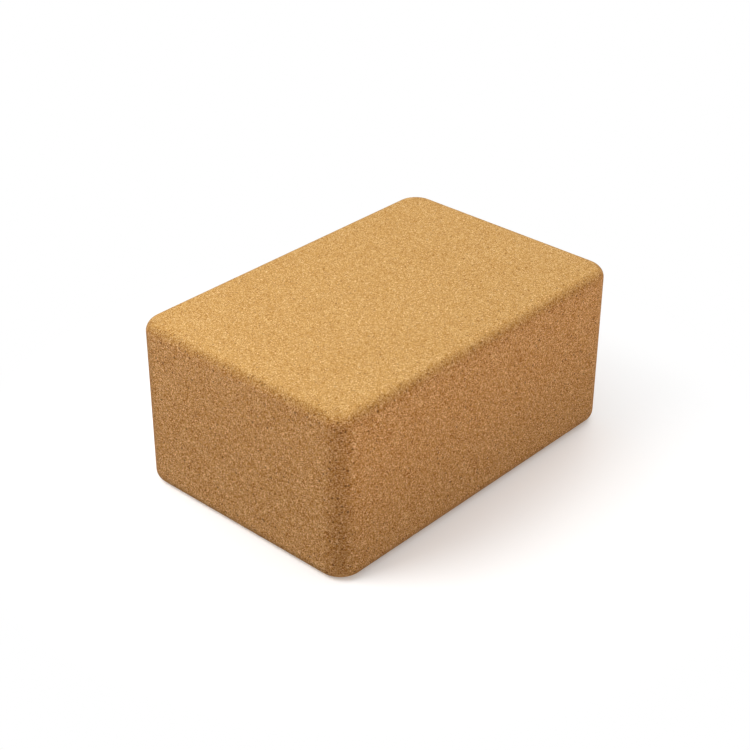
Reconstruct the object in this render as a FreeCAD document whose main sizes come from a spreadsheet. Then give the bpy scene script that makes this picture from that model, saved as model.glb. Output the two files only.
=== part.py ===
"""Cork yoga block: one brick of pressed cork granules, rounded over along every edge.

The brick lies on one of its two largest faces. The origin is the centre of that face, +X runs
along the length, +Y across the width and +Z up. Sizes are in millimetres.
"""

import FreeCAD
import Part
import Sketcher

import os

# Driving dimensions: the cell's alias, its value in mm, and what it sets.
DIMENSIONS = (
    ("block_length", 228.6, "long side of the brick, 9 in"),
    ("block_width", 152.4, "middle side of the brick, 6 in"),
    ("block_height", 101.6, "short side of the brick, 4 in"),
    ("corner_radius", 14.5, "round of the four upright corners"),
    ("rim_radius", 6.5, "round-over of the top and bottom rims"),
)
SHEET = "dimensions"
PARTS_FOLDER = "parts"

# How Sketcher names the ends of a line and the sketch's own origin.
START, END = 1, 2
ORIGIN_POINT = (-1, 1)

# Two places closer than this, in mm, are the same place.
SAME_PLACE = 1e-4


def make_sheet(doc):
    """Puts each driving dimension in a spreadsheet cell that has an alias."""
    sheet = doc.addObject("Spreadsheet::Sheet", SHEET)
    for row, (alias, value, meaning) in enumerate(DIMENSIONS, start=1):
        sheet.set(f"A{row}", meaning)
        sheet.set(f"B{row}", str(value))
        sheet.setAlias(f"B{row}", alias)
    doc.recompute()
    return sheet


def drive(feature, target, alias):
    """Binds a feature's property, or a sketch's named constraint, to a cell of the sheet."""
    feature.setExpression(target, f"{SHEET}.{alias}")


def sketch_footprint(body, sheet):
    """The brick's outline on its base, before rounding: a rectangle about the origin."""
    sketch = body.newObject("Sketcher::SketchObject", "footprint")
    base_plane = next(p for p in body.Origin.OriginFeatures if p.Role == "XY_Plane")
    sketch.AttachmentSupport = (base_plane, "")
    sketch.MapMode = "FlatFace"

    x, y = sheet.block_length / 2, sheet.block_width / 2
    corners = [FreeCAD.Vector(*c) for c in ((-x, -y), (x, -y), (x, y), (-x, y))]
    sides = [
        sketch.addGeometry(Part.LineSegment(corners[i - 1], corners[i]), False) for i in range(4)
    ]
    left, front, right, back = sides

    def constrain(kind, *places, name=None):
        index = sketch.addConstraint(Sketcher.Constraint(kind, *places))
        if name:
            sketch.renameConstraint(index, name)
            drive(sketch, f"Constraints.{name}", name)

    for side, following in zip(sides, sides[1:] + sides[:1]):
        constrain("Coincident", side, END, following, START)
    for side in (front, back):
        constrain("Horizontal", side)
    for side in (left, right):
        constrain("Vertical", side)
    constrain("Symmetric", front, START, right, END, *ORIGIN_POINT)
    constrain("DistanceX", front, START, front, END, 2 * x, name="block_length")
    constrain("DistanceY", right, START, right, END, 2 * y, name="block_width")
    return sketch


def pad_brick(body, footprint):
    """Raises the footprint to the brick's height."""
    pad = body.newObject("PartDesign::Pad", "brick")
    pad.Profile = footprint
    drive(pad, "Length", "block_height")
    return pad


def round_edges(body, base, name, radius_alias, belongs):
    """Rounds over the edges of the feature before it for which belongs(edge) is true."""
    body.Document.recompute()
    edges = [f"Edge{i}" for i, edge in enumerate(base.Shape.Edges, start=1) if belongs(edge)]
    fillet = body.newObject("PartDesign::Fillet", name)
    fillet.Base = (base, edges)
    drive(fillet, "Radius", radius_alias)
    return fillet


def is_upright(edge):
    """True for an edge that runs from the base to the top."""
    return edge.BoundBox.ZLength > SAME_PLACE


def is_rim(edge):
    """True for an edge that lies flat, round the base or round the top."""
    return not is_upright(edge)


def make_cork_block(doc, sheet):
    """The whole block: a brick with round corners, then round-over rims."""
    body = doc.addObject("PartDesign::Body", "cork_block")
    body.Label = "cork_block"
    footprint = sketch_footprint(body, sheet)
    brick = pad_brick(body, footprint)
    corners = round_edges(body, brick, "round_corners", "corner_radius", is_upright)
    round_edges(body, corners, "round_rims", "rim_radius", is_rim)
    doc.recompute()
    return body


def check(doc, sub_parts):
    """Stops the build if a feature failed or a sub-part isn't one sound solid."""
    failed = [o.Name for o in doc.Objects if {"Invalid", "Error"} & set(o.State)]
    if failed:
        raise RuntimeError(f"failed features: {failed}")
    for part in sub_parts:
        shape = part.Shape
        if shape.isNull() or not shape.isValid() or len(shape.Solids) != 1:
            raise RuntimeError(f"{part.Label} isn't one valid solid")


def export(sub_parts):
    """Writes one STEP file per sub-part, named by its label."""
    os.makedirs(PARTS_FOLDER, exist_ok=True)
    for part in sub_parts:
        part.Shape.exportStep(os.path.join(PARTS_FOLDER, f"{part.Label}.step"))
        box = part.Shape.optimalBoundingBox()
        size = " x ".join(f"{side:.2f}" for side in (box.XLength, box.YLength, box.ZLength))
        print(f"{part.Label}: {size} mm, {part.Shape.Volume / 1e6:.4f} litres")


def main():
    doc = FreeCAD.newDocument("yoga_block")
    sheet = make_sheet(doc)
    sub_parts = [make_cork_block(doc, sheet)]
    check(doc, sub_parts)
    export(sub_parts)


main()
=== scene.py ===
"""Cork yoga block: one brick of pressed cork granules, its cork and a white studio to look at it in.

Lengths are in metres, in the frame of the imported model: the brick lies flat with the centre of its
base at the origin, +X along its length, +Y across its width and +Z up.
"""

import math
import random
from collections import namedtuple

import bmesh
import bpy
from bpy.props import FloatProperty, FloatVectorProperty, IntProperty, PointerProperty
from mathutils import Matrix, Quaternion, Vector


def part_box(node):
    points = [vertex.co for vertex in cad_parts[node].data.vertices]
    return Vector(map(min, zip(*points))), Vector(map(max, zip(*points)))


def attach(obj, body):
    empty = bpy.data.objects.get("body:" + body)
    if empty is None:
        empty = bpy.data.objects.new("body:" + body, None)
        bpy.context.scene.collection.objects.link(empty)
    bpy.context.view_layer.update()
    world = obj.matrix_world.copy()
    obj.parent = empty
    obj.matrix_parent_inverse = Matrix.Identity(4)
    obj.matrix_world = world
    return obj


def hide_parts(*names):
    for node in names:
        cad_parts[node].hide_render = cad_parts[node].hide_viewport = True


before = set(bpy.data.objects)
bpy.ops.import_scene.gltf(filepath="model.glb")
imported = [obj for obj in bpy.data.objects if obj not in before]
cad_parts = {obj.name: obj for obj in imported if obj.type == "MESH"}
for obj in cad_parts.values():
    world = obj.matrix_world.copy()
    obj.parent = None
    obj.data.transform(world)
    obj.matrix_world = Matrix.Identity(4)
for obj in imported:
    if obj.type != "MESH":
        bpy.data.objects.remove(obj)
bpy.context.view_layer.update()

bl_info = {
    "name": "Cork yoga block",
    "version": (1, 0, 0),
    "blender": (4, 5, 0),
    "location": "3D View > Sidebar > Yoga block",
    "description": "Models a round-edged cork brick and the studio around it",
    "category": "Add Mesh",
}

# The solid that the brick stands for, and the body that carries it.
NODE = "cork_block"
BODY = "root"
LOW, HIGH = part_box(NODE)
SIZE = HIGH - LOW
CENTRE = (LOW + HIGH) / 2

# Two places closer than this are the same place.
SAME_PLACE = 1e-6
X, Y, Z = range(3)


def levels(red, green, blue):
    """A colour given in screen levels from 0 to 255, as the linear numbers that Blender keeps."""
    shares = (level / 255 for level in (red, green, blue))
    return tuple(s / 12.92 if s <= 0.04045 else ((s + 0.055) / 1.055) ** 2.4 for s in shares)


def cad_round(across, along):
    """The radius that rounds off the face across one axis on its way along another."""
    corners = [v.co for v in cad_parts[NODE].data.vertices]
    flat_end = max(c[along] for c in corners if HIGH[across] - c[across] < SAME_PLACE)
    return HIGH[along] - flat_end


class BrickSettings(bpy.types.PropertyGroup):
    """Sizes of the brick and of the small damage that sanding leaves on it."""

    corner_radius: FloatProperty(
        name="Corner radius",
        description="Round of the four upright corners",
        default=cad_round(across=Y, along=X),
        unit="LENGTH",
    )
    rim_radius: FloatProperty(
        name="Rim radius",
        description="Round-over of the top and bottom rims",
        default=cad_round(across=Z, along=X),
        unit="LENGTH",
    )
    mesh_step: FloatProperty(
        name="Mesh step",
        description="Side of the squares that the surface is divided into",
        default=0.0015,
        unit="LENGTH",
    )
    relief: FloatProperty(
        name="Relief",
        description="Depth of the unevenness that sanding leaves in the flat faces",
        default=0.00004,
        unit="LENGTH",
        precision=5,
    )
    relief_width: FloatProperty(
        name="Relief width",
        description="Width of one dip of that unevenness",
        default=0.004,
        unit="LENGTH",
    )
    pit_count: IntProperty(
        name="Pits",
        description="Places where a granule has been torn out",
        default=1100,
        min=0,
    )
    pit_depth: FloatProperty(
        name="Pit depth",
        description="Depth of an average pit",
        default=0.0002,
        unit="LENGTH",
        precision=5,
    )
    pit_gap: FloatProperty(
        name="Pit gap",
        description="Least distance between two pits",
        default=0.0036,
        unit="LENGTH",
    )
    seed: IntProperty(name="Seed", description="Picks where the pits are", default=11)


class CorkSettings(bpy.types.PropertyGroup):
    """Colours and grain of the pressed cork."""

    cream: FloatVectorProperty(
        name="Cream granules",
        description="Colour of the lightest granules",
        default=levels(246, 210, 154),
        subtype="COLOR",
    )
    pale: FloatVectorProperty(
        name="Pale granules",
        description="Colour of the light granules",
        default=levels(215, 172, 106),
        subtype="COLOR",
    )
    tan: FloatVectorProperty(
        name="Tan granules",
        description="Colour of the middling granules",
        default=levels(199, 152, 82),
        subtype="COLOR",
    )
    brown: FloatVectorProperty(
        name="Brown granules",
        description="Colour of the dark granules",
        default=levels(179, 129, 60),
        subtype="COLOR",
    )
    umber: FloatVectorProperty(
        name="Umber granules",
        description="Colour of the darkest granules, and of the binder between granules",
        default=levels(139, 86, 32),
        subtype="COLOR",
    )
    bark: FloatVectorProperty(
        name="Bark",
        description="Colour of the specks of bark",
        default=levels(92, 57, 30),
        subtype="COLOR",
    )
    # Rims and corners are darkened towards this tint, partly as wear and partly as painted shade.
    worn_and_shaded: FloatVectorProperty(
        name="Worn and shaded edges",
        description="Tint that the rims and corners are worn towards",
        default=(0.55, 0.48, 0.38),
        subtype="COLOR",
    )
    # The redder tint of the cut sides is painted shade, not a colour of the cork.
    painted_side_shade: FloatVectorProperty(
        name="Cut sides",
        description="Tint of the cut sides, which are a shade redder than the pressed top",
        default=(1.0, 0.88, 0.88),
        subtype="COLOR",
    )
    granule: FloatProperty(
        name="Granule",
        description="Width of a large granule",
        default=0.00062,
        unit="LENGTH",
        precision=5,
    )
    fines: FloatProperty(
        name="Fines",
        description="Width of the fine granules packed between the large ones",
        default=0.00032,
        unit="LENGTH",
        precision=5,
    )
    grain_relief: FloatProperty(
        name="Grain relief",
        description="How far granules stand out of the surface",
        default=0.00002,
        unit="LENGTH",
        precision=5,
    )
    roughness: FloatProperty(
        name="Roughness",
        description="Roughness of the granules' faces",
        default=0.82,
        subtype="FACTOR",
    )


class StudioSettings(bpy.types.PropertyGroup):
    """The white floor, the lamps' common level and the camera."""

    light_level: FloatProperty(
        name="Light level",
        description="1 shows a surface that faces a lamp of strength 1 in its own colour",
        default=1.0,
        min=0.0,
    )
    ambient: FloatProperty(
        name="Ambient",
        description="Light from all around",
        default=0.56,
        min=0.0,
    )
    floor_colour: FloatVectorProperty(
        name="Floor",
        description="Colour of the floor, as it is seen",
        default=(0.95, 0.95, 0.95),
        subtype="COLOR",
    )
    floor_glow: FloatProperty(
        name="Floor glow",
        description="White that the seen floor adds, as an overlit table does",
        default=0.16,
        min=0.0,
    )
    floor_bounce: FloatVectorProperty(
        name="Floor bounce",
        description="Colour of the floor away from the brick, as it lights the brick",
        default=(0.05, 0.05, 0.05),
        subtype="COLOR",
    )
    view_azimuth: FloatProperty(
        name="View azimuth",
        description="Direction of view, turned from +Y towards +X",
        default=math.radians(47.86),
        subtype="ANGLE",
    )
    view_elevation: FloatProperty(
        name="View elevation",
        description="How far the camera looks down",
        default=math.radians(30.92),
        subtype="ANGLE",
    )
    view_roll: FloatProperty(
        name="View roll",
        description="How far the camera is tipped to its left",
        default=math.radians(0.2846),
        subtype="ANGLE",
    )
    view_target: FloatVectorProperty(
        name="View target",
        description="What the middle of the picture shows",
        default=(-0.00341, 0.00171, 0.04849),
        subtype="TRANSLATION",
        unit="LENGTH",
    )
    view_distance: FloatProperty(
        name="View distance",
        description="From the target to the camera",
        default=0.9405,
        unit="LENGTH",
    )
    lens: FloatProperty(
        name="Lens",
        description="Focal length in millimetres, on a 36 mm sensor",
        default=79.165,
    )


class Value:
    """One output of a shader node, so that shader maths is written as Python expressions."""

    def __init__(self, writer, socket):
        self.writer = writer
        self.socket = socket

    def output(self, name):
        """Another output of the same node."""
        return Value(self.writer, self.socket.node.outputs[name])

    def maths(self, operation, *terms):
        sockets = dict(enumerate(terms))
        return self.writer.add("ShaderNodeMath", {"operation": operation}, sockets)

    def __add__(self, other):
        return self.maths("ADD", self, other)

    def __sub__(self, other):
        return self.maths("SUBTRACT", self, other)

    def __rsub__(self, other):
        return self.maths("SUBTRACT", other, self)

    def __mul__(self, other):
        return self.maths("MULTIPLY", self, other)

    def __truediv__(self, other):
        return self.maths("DIVIDE", self, other)

    def __rtruediv__(self, other):
        return self.maths("DIVIDE", other, self)

    __radd__ = __add__
    __rmul__ = __mul__

    def least(self, other):
        return self.maths("MINIMUM", self, other)

    def most(self, other):
        return self.maths("MAXIMUM", self, other)

    def size(self):
        return self.maths("ABSOLUTE", self)

    def rise(self, start, end):
        """0 up to start, 1 from end on, and a smooth slope between them."""
        settings = {"interpolation_type": "SMOOTHSTEP"}
        sockets = {"Value": self, "From Min": start, "From Max": end}
        return self.writer.add("ShaderNodeMapRange", settings, sockets)

    def among_highest(self, share, softness=0.005):
        """1 where a number drawn from 0 to 1 is among the highest share of draws, and otherwise 0."""
        return self.rise(1 - share, 1 - share + softness)


class NodeWriter:
    """Writes the nodes of one material or world."""

    def __init__(self, owner):
        owner.use_nodes = True
        self.tree = owner.node_tree
        self.tree.nodes.clear()

    def add(self, kind, settings=None, sockets=None, output=0):
        """Adds a node, with its settings set before its sockets, and returns one of its outputs."""
        node = self.tree.nodes.new(kind)
        for name, setting in (settings or {}).items():
            if name == "stops":
                self.set_stops(node.color_ramp.elements, setting)
            else:
                setattr(node, name, setting)
        for name, value in (sockets or {}).items():
            if isinstance(value, Value):
                self.tree.links.new(value.socket, node.inputs[name])
            else:
                node.inputs[name].default_value = value
        return Value(self, node.outputs[output]) if node.outputs else None

    @staticmethod
    def set_stops(elements, stops):
        """Gives a colour ramp its stops, as pairs of a place and a colour."""
        while len(elements) < len(stops):
            elements.new(1.0)
        for element, (place, colour) in zip(elements, stops):
            element.position = place
            element.color = opaque(colour)

    def mix(self, factor, first, second, blend="MIX"):
        """Two colours mixed."""
        first, second = (c if isinstance(c, Value) else opaque(c) for c in (first, second))
        settings = {"data_type": "RGBA", "blend_type": blend}
        return self.add("ShaderNodeMix", settings, {0: factor, 6: first, 7: second}, output=2)

    def vector(self, operation, *terms):
        """Vector maths on places; a plain number scales."""
        sockets = {"Scale" if operation == "SCALE" and i else i: t for i, t in enumerate(terms)}
        return self.add("ShaderNodeVectorMath", {"operation": operation}, sockets)

    def noise(self, place, scale, output="Fac"):
        """Clouds, so many to a metre."""
        sockets = {"Vector": place, "Scale": scale}
        return self.add("ShaderNodeTexNoise", None, sockets, output)

    def cells(self, place, scale, feature="F1"):
        """How far a place is from the middle of its cell, or from its edge; so many cells to a metre."""
        sockets = {"Vector": place, "Scale": scale}
        return self.add("ShaderNodeTexVoronoi", {"feature": feature}, sockets, "Distance")

    def draw(self, cell):
        """Two numbers from 0 to 1, drawn at random for each cell.

        A cell's own colour also gives its middle's place, so it is only the seed of the draw.
        """
        drawn = self.add("ShaderNodeTexWhiteNoise", None, {"Vector": cell.output("Color")}, "Color")
        red = self.add("ShaderNodeSeparateColor", None, {"Color": drawn}, "Red")
        return red, red.output("Green")

    def seen(self):
        """1 where the camera looks, straight or by way of a gloss or a glass, and otherwise 0."""
        path = self.add("ShaderNodeLightPath", output="Is Camera Ray")
        mirrored = path.output("Is Glossy Ray").most(path.output("Is Transmission Ray"))
        return path.most(mirrored)

    def mix_shader(self, factor, first, second):
        return self.add("ShaderNodeMixShader", None, {0: factor, 1: first, 2: second})


def opaque(colour):
    """A colour of three numbers with the fourth that sockets want."""
    return (*colour, 1.0)


def deselect_all():
    bpy.ops.object.select_all(action="DESELECT")


def pick(obj, kind, belongs):
    """Selects the vertices or edges of obj for which belongs(element) is true."""
    bpy.ops.mesh.select_mode(type=kind)
    bpy.ops.mesh.select_all(action="DESELECT")
    mesh = bmesh.from_edit_mesh(obj.data)
    for element in {"VERT": mesh.verts, "EDGE": mesh.edges}[kind]:
        if belongs(element):
            element.select_set(True)
    mesh.select_flush_mode()
    bmesh.update_edit_mesh(obj.data)


def apply_modifier(obj, kind, **settings):
    """Adds a modifier to obj and applies it."""
    modifier = obj.modifiers.new(kind.lower(), kind)
    for name, value in settings.items():
        setattr(modifier, name, value)
    bpy.context.view_layer.objects.active = obj
    bpy.ops.object.modifier_apply(modifier=modifier.name)


def runs_along(edge, axis):
    """True for an edge that is parallel to an axis."""
    step = edge.verts[1].co - edge.verts[0].co
    return all(abs(step[other]) < SAME_PLACE for other in (X, Y, Z) if other != axis)


def add_box(name):
    """A sharp-edged box of the brick's size, where the brick lies."""
    deselect_all()
    bpy.ops.mesh.primitive_cube_add(size=1.0, location=CENTRE, scale=SIZE)
    bpy.ops.object.transform_apply(location=True, rotation=True, scale=True)
    box = bpy.context.object
    box.name = name
    box.data.name = name
    return box


# Segments of the mould's rounds, many more than the brick's own mesh can show, and the bevel profile
# that makes a round an arc of a circle.
CORNER_SEGMENTS, RIM_SEGMENTS = 64, 40
ARC = 0.5


def make_mould(settings):
    """The brick's smooth shape: a box with round upright corners and round-over rims."""
    mould = add_box("mould")
    bpy.ops.object.mode_set(mode="EDIT")
    pick(mould, "EDGE", lambda edge: runs_along(edge, Z))
    bpy.ops.mesh.bevel(offset=settings.corner_radius, segments=CORNER_SEGMENTS, profile=ARC)
    pick(mould, "EDGE", lambda edge: abs(edge.verts[0].co.z - edge.verts[1].co.z) < SAME_PLACE)
    bpy.ops.mesh.bevel(offset=settings.rim_radius, segments=RIM_SEGMENTS, profile=ARC)
    bpy.ops.object.mode_set(mode="OBJECT")
    return mould


def divide(box, axis, step):
    """Cuts the box across one axis into halves, and each half into slices about a step thick."""
    halves = 2
    slices = round(SIZE[axis] / step / halves)
    for cuts in (halves - 1, slices - 1):
        pick(box, "EDGE", lambda edge: runs_along(edge, axis))
        bpy.ops.mesh.subdivide(number_cuts=cuts)


# Where each face of the box lies on the flat pattern: the axis and side that it faces, the two
# axes that run across and up the pattern, and its lower left corner there. A gap parts the faces
# from each other and from the pattern's border.
PATTERN_MAP = "OFBake"
PATTERN_GAP = 0.0016
FaceOnPattern = namedtuple("FaceOnPattern", "axis side across up left low")


def pattern_faces():
    """The flat pattern: a column of faces as wide as the brick is long, and one as it is wide."""
    length, width, height = (side + PATTERN_GAP for side in SIZE)
    first, second = PATTERN_GAP, PATTERN_GAP + length
    return (
        FaceOnPattern(Z, 1, X, Y, first, first),
        FaceOnPattern(Z, -1, X, Y, first, first + width),
        FaceOnPattern(Y, -1, X, Z, first, first + 2 * width),
        FaceOnPattern(X, -1, Y, Z, second, first),
        FaceOnPattern(X, 1, Y, Z, second, first + height),
        FaceOnPattern(Y, 1, Z, X, second, first + 2 * height),
    )


def lay_pattern(box):
    """Gives the sharp box a map on which its six faces lie side by side."""
    length, width, height = (side + PATTERN_GAP for side in SIZE)
    pattern_width = PATTERN_GAP + length + width
    pattern_height = PATTERN_GAP + 2 * height + length
    places = {(face.axis, face.side): face for face in pattern_faces()}
    mesh = bmesh.from_edit_mesh(box.data)
    layer = mesh.loops.layers.uv.new(PATTERN_MAP)
    for polygon in mesh.faces:
        axis = max((X, Y, Z), key=lambda a: abs(polygon.normal[a]))
        face = places[axis, 1 if polygon.normal[axis] > 0 else -1]
        for loop in polygon.loops:
            place = loop.vert.co - LOW
            across = (place[face.across] + face.left) / pattern_width
            up = (place[face.up] + face.low) / pattern_height
            loop[layer].uv = (across, up)
    bmesh.update_edit_mesh(box.data)


def from_rim(place):
    """How far a place on the surface is from the nearest edge of the sharp box."""
    gaps = sorted(min(place[a] - LOW[a], HIGH[a] - place[a]) for a in (X, Y, Z))
    return gaps[1]


# Pits come in three radii, each with its share of the average depth. They are likelier within a
# strip along the edges.
PIT_SIZES = ((0.00032, 0.75), (0.00044, 1.0), (0.00058, 1.2))
PIT_RIM = 0.012
PIT_CHANCE_ON_FACES = 0.4

# A bevel profile that turns a vertex of the grid into a round hole, the share of the hole's radius
# that its sloping wall takes, and how uneven the pit is, as a share of its depth.
ROUND_HOLE = 0.086
PIT_WALL = 0.3
PIT_UNEVEN = 0.3


def pick_pits(brick, count, gap, taken, draw):
    """Selects vertices of the grid for pits, none of them near a pit that is already taken."""
    mesh = bmesh.from_edit_mesh(brick.data)
    mesh.verts.index_update()
    order = list(mesh.verts)
    draw.shuffle(order)
    chosen = set()

    def cell(place):
        return tuple(math.floor(p / gap) for p in place)

    def is_free(place):
        near = (-1, 0, 1)
        x, y, z = cell(place)
        others = ((x + i, y + j, z + k) for i in near for j in near for k in near)
        return all((place - p).length > gap for o in others for p in taken.get(o, ()))

    for vertex in order:
        if len(chosen) == count:
            break
        at_rim = from_rim(vertex.co) < PIT_RIM
        if (at_rim or draw.random() < PIT_CHANCE_ON_FACES) and is_free(vertex.co):
            taken.setdefault(cell(vertex.co), []).append(vertex.co.copy())
            chosen.add(vertex.index)
    pick(brick, "VERT", lambda vertex: vertex.index in chosen)


def tear_pits(brick, settings):
    """Opens a small round hole at each chosen vertex and sinks it."""
    draw = random.Random(settings.seed)
    taken = {}
    for radius, share in PIT_SIZES:
        pick_pits(brick, settings.pit_count // len(PIT_SIZES), settings.pit_gap, taken, draw)
        bpy.ops.mesh.bevel(affect="VERTICES", offset=radius, segments=2, profile=ROUND_HOLE)
        bpy.ops.mesh.select_mode(type="FACE")
        depth = settings.pit_depth * share
        bpy.ops.mesh.inset(thickness=radius * PIT_WALL, depth=-depth)
        bpy.ops.transform.vertex_random(offset=depth * PIT_UNEVEN, seed=settings.seed)


# Faces that meet at less than this angle are shaded as one smooth surface.
SMOOTH_ANGLE = math.radians(35)


def make_brick(settings):
    """The brick: a finely divided box drawn onto the mould, then sanded uneven and pitted."""
    mould = make_mould(settings)
    brick = add_box("cork_brick")
    bpy.ops.object.mode_set(mode="EDIT")
    for axis in (X, Y, Z):
        divide(brick, axis, settings.mesh_step)
    lay_pattern(brick)
    bpy.ops.object.mode_set(mode="OBJECT")
    apply_modifier(brick, "SHRINKWRAP", target=mould, wrap_method="NEAREST_SURFACEPOINT")
    bpy.data.objects.remove(mould)

    dips = bpy.data.textures.new("sanding_dips", "CLOUDS")
    dips.noise_scale = settings.relief_width
    apply_modifier(brick, "DISPLACE", texture=dips, strength=settings.relief, mid_level=1.0)

    bpy.ops.object.mode_set(mode="EDIT")
    tear_pits(brick, settings)
    bpy.ops.object.mode_set(mode="OBJECT")
    deselect_all()
    brick.select_set(True)
    bpy.ops.object.shade_smooth_by_angle(angle=SMOOTH_ANGLE)
    return brick


# The outlines of granules wander by this share of a fine granule's width. So many of their bends, and
# so many of the clouds inside granules, go to that width.
OUTLINE_WANDER = 0.4
OUTLINE_BENDS, CLOUDS = 0.9, 2.2

# Shares of a pattern's cells: those that show one large granule in place of fines, and those that
# hold a speck of bark or a light chip. Wear adds to the share of bark.
LARGE_SHARE = 0.24
BARK_SHARE = 0.04
BARK_SHARE_BY_WEAR = 0.3
CHIP_SHARE = 0.04

# How much of their own colours specks of bark, light chips and the binder show. Bark shows less on
# the pressed faces than on the cut sides.
BARK_ON_CUT, BARK_ON_PRESSED = 0.8, 0.4
CHIP = 0.6
BINDER = 0.25

# A speck is a ball round the middle of its cell. Its least radius, the range of its radius and the
# width of its soft edge are in cells, and so is the binder's reach into a granule.
SPECK_CELL = 0.0016
SPECK_RADIUS, SPECK_RANGE, SPECK_EDGE = 0.24, 0.16, 0.06
BINDER_REACH = 0.12

# How far the granules' tones spread on the cut sides and on the pressed top and bottom, and what the
# clouds inside a granule and a slow drift over the brick add to them. The extra spread on the cut sides
# is painted shading of the granules' relief.
CUT_SPREAD_WITH_SHADE, PRESSED_SPREAD = 1.34, 0.91
CLOUD = 0.12
DRIFT, DRIFT_WIDTH = 0.05, 0.030

# How far the corners and the rims are darkened, partly for wear and partly as painted shade, and between
# which shares of their radius that fades out.
CORNER_WEAR_AND_SHADE, RIM_WEAR_AND_SHADE = 0.52, 0.5
WEAR_AND_SHADE_FADE = (0.25, 0.95)


def make_cork(settings, brick_settings):
    """Pressed cork: pale to brown granules, fines between them, bark, light chips, and rims and corners
    darkened partly for wear and partly as painted shade.
    """
    material = bpy.data.materials.new("pressed_cork")
    nodes = NodeWriter(material)
    place = nodes.add("ShaderNodeTexCoord", output="Object")

    # Granules have uneven outlines, so the places that the cells are cut at wander a little.
    wander = nodes.noise(place, OUTLINE_BENDS / settings.fines, output="Color")
    wander = nodes.vector("SUBTRACT", wander, (0.5, 0.5, 0.5))
    wander = nodes.vector("SCALE", wander, OUTLINE_WANDER * settings.fines)
    bent = nodes.vector("ADD", place, wander)

    large_tone, large_kind = nodes.draw(nodes.cells(bent, 1 / settings.granule))
    fine_tone, _ = nodes.draw(nodes.cells(bent, 1 / settings.fines))
    is_large = large_kind.among_highest(LARGE_SHARE, softness=0.02)
    tone = large_tone * is_large + fine_tone * (1 - is_large)

    # The binder shows as thin darker seams round the granules.
    large_seam = nodes.cells(bent, 1 / settings.granule, "DISTANCE_TO_EDGE")
    fine_seam = nodes.cells(bent, 1 / settings.fines, "DISTANCE_TO_EDGE")
    from_seam = large_seam * is_large + fine_seam * (1 - is_large)
    on_granule = from_seam.rise(0.0, BINDER_REACH)

    # The granules differ less on the top and bottom than on the cut sides, where the extra spread is
    # painted shading of the granules' relief.
    # Inside a granule the colour is cloudy, and over the brick it hardly changes.
    x, y, z = brick_gaps(nodes, place)
    pressed = 1 - (z / brick_settings.rim_radius).rise(0.0, 1.0)
    cloud = nodes.noise(place, CLOUDS / settings.fines) - 0.5
    drift = nodes.noise(place, 1 / DRIFT_WIDTH) - 0.5
    spread = CUT_SPREAD_WITH_SHADE - pressed * (CUT_SPREAD_WITH_SHADE - PRESSED_SPREAD)
    tone = (tone - 0.5 + cloud * CLOUD) * spread + drift * DRIFT + 0.5
    stops = (
        (0.00, settings.umber),
        (0.25, settings.brown),
        (0.50, settings.tan),
        (0.75, settings.pale),
        (1.00, settings.cream),
    )
    colour = nodes.add("ShaderNodeValToRGB", {"stops": stops}, {"Fac": tone}, "Color")
    colour = nodes.mix((1 - on_granule) * BINDER, colour, settings.umber)
    # The cut sides get the redder tint: painted shade.
    colour = nodes.mix(1 - pressed, colour, settings.painted_side_shade, blend="MULTIPLY")

    # Rims and corners are darkened, partly for wear and partly as painted shade. The darkening reaches a
    # little further down the sides than onto the top, and further round onto the ends than onto the long
    # sides.
    corner = 1 - ((x * 1.12).most(y * 0.88) / brick_settings.corner_radius).rise(*WEAR_AND_SHADE_FADE)
    rim = 1 - ((z * 0.7).most(x.least(y)) / brick_settings.rim_radius).rise(*WEAR_AND_SHADE_FADE)
    worn_and_shaded = (corner * CORNER_WEAR_AND_SHADE).most(rim * RIM_WEAR_AND_SHADE)
    colour = nodes.mix(worn_and_shaded, colour, settings.worn_and_shaded, blend="MULTIPLY")

    # Along the darkened rims and corners the cork shows more specks of bark, and only the cut sides show
    # light chips.
    speck = nodes.cells(bent, 1 / SPECK_CELL)
    chance, width = nodes.draw(speck)
    radius = width * SPECK_RANGE + SPECK_RADIUS
    on_speck = 1 - speck.rise(radius, radius + SPECK_EDGE)
    is_bark = on_speck * (chance + worn_and_shaded * BARK_SHARE_BY_WEAR).among_highest(BARK_SHARE)
    is_chip = on_speck * (1 - chance).among_highest(CHIP_SHARE) * (1 - pressed.most(worn_and_shaded))
    bark_shown = BARK_ON_CUT - pressed * (BARK_ON_CUT - BARK_ON_PRESSED)
    colour = nodes.mix(is_bark * bark_shown, colour, settings.bark)
    colour = nodes.mix(is_chip * CHIP, colour, settings.cream)

    # Granules stand out of the binder, and specks of bark lie lowest. The binder and the darkened rims
    # and corners are rougher, and pale granules smoother.
    height = on_granule * 0.5 + cloud * 0.5 - is_bark
    bump = nodes.add("ShaderNodeBump", None, {"Height": height, "Distance": settings.grain_relief})
    roughness = settings.roughness + (1 - on_granule) * 0.1 - tone * 0.06 + worn_and_shaded * 0.1
    cork = nodes.add(
        "ShaderNodeBsdfPrincipled",
        None,
        {
            "Base Color": colour,
            "Roughness": roughness,
            "Normal": bump,
            "Specular IOR Level": 0.2,
        },
    )
    nodes.add("ShaderNodeOutputMaterial", None, {"Surface": cork})
    return material


def brick_gaps(nodes, place):
    """How far a place is from the faces of the brick's box, along each axis."""
    from_centre = nodes.vector("SUBTRACT", place, tuple(CENTRE))
    x = nodes.add("ShaderNodeSeparateXYZ", None, {"Vector": from_centre}, "X")
    axes = (x, x.output("Y"), x.output("Z"))
    return [half - axis.size() for half, axis in zip(SIZE / 2, axes)]


# The floor turns to plain white between two distances from the brick's middle. It lights the brick in
# the colour that it is seen in only where it is under the brick, from 1 mm inside the brick's outline,
# and that fades out 3 mm outside the outline.
FLOOR_SIZE = 8.0
FLOOR_FADE = (0.11, 0.25)
FLOOR_NEAR = (-0.003, 0.001)


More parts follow.
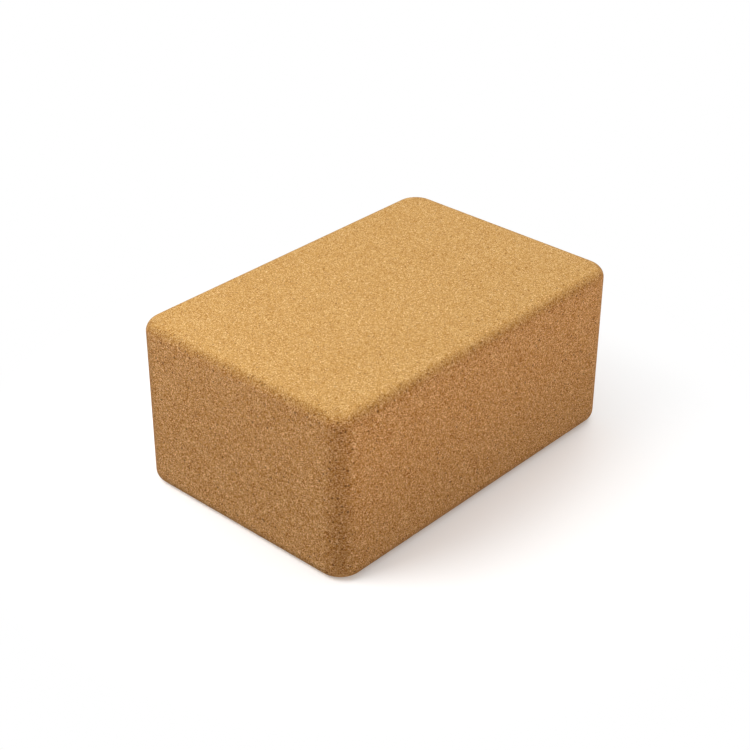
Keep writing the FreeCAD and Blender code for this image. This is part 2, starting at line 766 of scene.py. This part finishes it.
def make_floor(settings):
    """A white floor that shows the brick's shadow, and fades into the white behind it."""
    deselect_all()
    bpy.ops.mesh.primitive_plane_add(size=FLOOR_SIZE, location=(CENTRE.x, CENTRE.y, LOW.z))
    bpy.ops.object.transform_apply(location=True, rotation=True, scale=True)
    floor = bpy.context.object
    floor.name = "studio_floor"
    material = bpy.data.materials.new("white_floor")
    nodes = NodeWriter(material)
    place = nodes.add("ShaderNodeTexCoord", output="Object")
    far = nodes.add("ShaderNodeVectorMath", {"operation": "LENGTH"}, {0: place}, "Value")
    table = nodes.add("ShaderNodeBsdfDiffuse", None, {"Color": opaque(settings.floor_colour)})
    away = nodes.add("ShaderNodeBsdfDiffuse", None, {"Color": opaque(settings.floor_bounce)})
    x, y, _ = brick_gaps(nodes, place)
    bounce = nodes.mix_shader(x.least(y).rise(*FLOOR_NEAR), away, table)
    glow = nodes.add("ShaderNodeEmission", None, {"Strength": settings.floor_glow})
    lit = nodes.add("ShaderNodeAddShader", None, {0: table, 1: glow})
    white = nodes.add("ShaderNodeEmission", None, {"Strength": 1.0})
    shown = nodes.mix_shader(far.rise(*FLOOR_FADE), lit, white)
    surface = nodes.mix_shader(nodes.seen(), bounce, shown)
    nodes.add("ShaderNodeOutputMaterial", None, {"Surface": surface})
    floor.data.materials.append(material)


def make_world(settings):
    """White where the camera sees past the floor, and elsewhere a dimmer light from all around."""
    world = bpy.data.worlds.new("white_surround")
    bpy.context.scene.world = world
    nodes = NodeWriter(world)
    seen = nodes.seen()
    strength = seen + (1 - seen) * settings.ambient
    white = nodes.add("ShaderNodeBackground", None, {"Color": opaque((1, 1, 1)), "Strength": strength})
    nodes.add("ShaderNodeOutputWorld", None, {"Surface": white})


# Azimuths turn from +X towards +Y and elevations rise from the floor. A lamp aims at the brick's
# upright axis, at a share of its height, from a distance. At strength 1 and light level 1 a small
# lamp shows a surface that faces it in that surface's own colour. A grid narrows a lamp's beam to
# an angle. All angles are in degrees.
NO_GRID = 180
Lamp = namedtuple("Lamp", "name azimuth elevation aim distance strength colour width height grid")
LAMPS = (
    Lamp(
        "left_softbox",
        azimuth=154,
        elevation=47,
        aim=0.5,
        distance=0.75,
        strength=0.65,
        colour=(1.0, 1.0, 1.0),
        width=0.45,
        height=0.45,
        grid=NO_GRID,
    ),
    Lamp(
        "right_softbox",
        azimuth=0,
        elevation=48,
        aim=0.5,
        distance=0.75,
        strength=0.28,
        colour=(1.0, 1.0, 1.0),
        width=0.45,
        height=0.45,
        grid=NO_GRID,
    ),
    Lamp(
        "front_strip",
        azimuth=-98,
        elevation=0,
        aim=1.0,
        distance=0.75,
        strength=1.98,
        colour=(1.0, 0.88, 0.79),
        width=0.90,
        height=0.08,
        grid=30,
    ),
)


def direction(azimuth, elevation):
    """The unit vector that points that way; both angles are in degrees."""
    turn, rise = math.radians(azimuth), math.radians(elevation)
    return Vector((math.cos(rise) * math.cos(turn), math.cos(rise) * math.sin(turn), math.sin(rise)))


def grid_gain(grid):
    """How many times a grid that narrows the beam to this angle brightens the middle of the beam."""
    if grid == NO_GRID:
        return 1.0
    half = math.radians(grid) / 2
    return math.tan(half) / (math.tan(half) - half)


def add_lamp(lamp, settings):
    """A softbox or strip that faces the brick."""
    towards = direction(lamp.azimuth, lamp.elevation)
    aim = Vector((CENTRE.x, CENTRE.y, LOW.z + lamp.aim * SIZE.z))
    bpy.ops.object.light_add(
        type="AREA",
        location=aim + towards * lamp.distance,
        rotation=towards.to_track_quat("Z", "Y").to_euler(),
    )
    softbox = bpy.context.object
    softbox.name = lamp.name
    softbox.visible_camera = False
    softbox.data.shape = "RECTANGLE"
    softbox.data.size = lamp.width
    softbox.data.size_y = lamp.height
    softbox.data.spread = math.radians(lamp.grid)
    softbox.data.color = lamp.colour
    strength = settings.light_level * lamp.strength / grid_gain(lamp.grid)
    softbox.data.energy = strength * (math.pi * lamp.distance) ** 2


def add_camera(settings):
    """The camera, with the brick's near upright corner towards it."""
    forward = direction(90 - math.degrees(settings.view_azimuth), -math.degrees(settings.view_elevation))
    upright = forward.to_track_quat("-Z", "Y")
    tipped = upright @ Quaternion((0.0, 0.0, 1.0), settings.view_roll)
    bpy.ops.object.camera_add(
        location=Vector(settings.view_target) - forward * settings.view_distance,
        rotation=tipped.to_euler(),
    )
    camera = bpy.context.object
    camera.name = "studio_camera"
    camera.data.sensor_width = 36.0
    camera.data.lens = settings.lens
    bpy.context.scene.camera = camera


class CorkBrickOperator(bpy.types.Operator):
    """Model the cork brick in place of its plain solid"""

    bl_idname = "yoga_block.cork_brick"
    bl_label = "Cork brick"
    bl_options = {"REGISTER", "UNDO"}

    def execute(self, context):
        scene = context.scene
        brick = make_brick(scene.yoga_brick)
        brick.data.materials.append(make_cork(scene.yoga_cork, scene.yoga_brick))
        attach(brick, BODY)
        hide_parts(NODE)
        return {"FINISHED"}


class StudioOperator(bpy.types.Operator):
    """Set up the white floor, the lamps and the camera"""

    bl_idname = "yoga_block.studio"
    bl_label = "Studio"
    bl_options = {"REGISTER", "UNDO"}

    def execute(self, context):
        settings = context.scene.yoga_studio
        context.scene.view_settings.view_transform = "Standard"
        make_floor(settings)
        make_world(settings)
        for lamp in LAMPS:
            add_lamp(lamp, settings)
        add_camera(settings)
        return {"FINISHED"}


class YogaBlockPanel(bpy.types.Panel):
    """Buttons and sizes of the yoga block"""

    bl_idname = "VIEW3D_PT_yoga_block"
    bl_label = "Yoga block"
    bl_space_type = "VIEW_3D"
    bl_region_type = "UI"
    bl_category = "Yoga block"

    def draw(self, context):
        scene = context.scene
        for operator, groups in (
            (CorkBrickOperator, (scene.yoga_brick, scene.yoga_cork)),
            (StudioOperator, (scene.yoga_studio,)),
        ):
            box = self.layout.box()
            for group in groups:
                for name in group.__annotations__:
                    box.prop(group, name)
            box.operator(operator.bl_idname)


SETTINGS = {"yoga_brick": BrickSettings, "yoga_cork": CorkSettings, "yoga_studio": StudioSettings}
CLASSES = (*SETTINGS.values(), CorkBrickOperator, StudioOperator, YogaBlockPanel)


def register():
    for cls in CLASSES:
        bpy.utils.register_class(cls)
    for name, group in SETTINGS.items():
        setattr(bpy.types.Scene, name, PointerProperty(type=group))


def unregister():
    for name in SETTINGS:
        delattr(bpy.types.Scene, name)
    for cls in reversed(CLASSES):
        bpy.utils.unregister_class(cls)


def main():
    """Makes the brick and the studio."""
    register()
    bpy.ops.yoga_block.cork_brick()
    bpy.ops.yoga_block.studio()


if __name__ == "__main__":
    main()
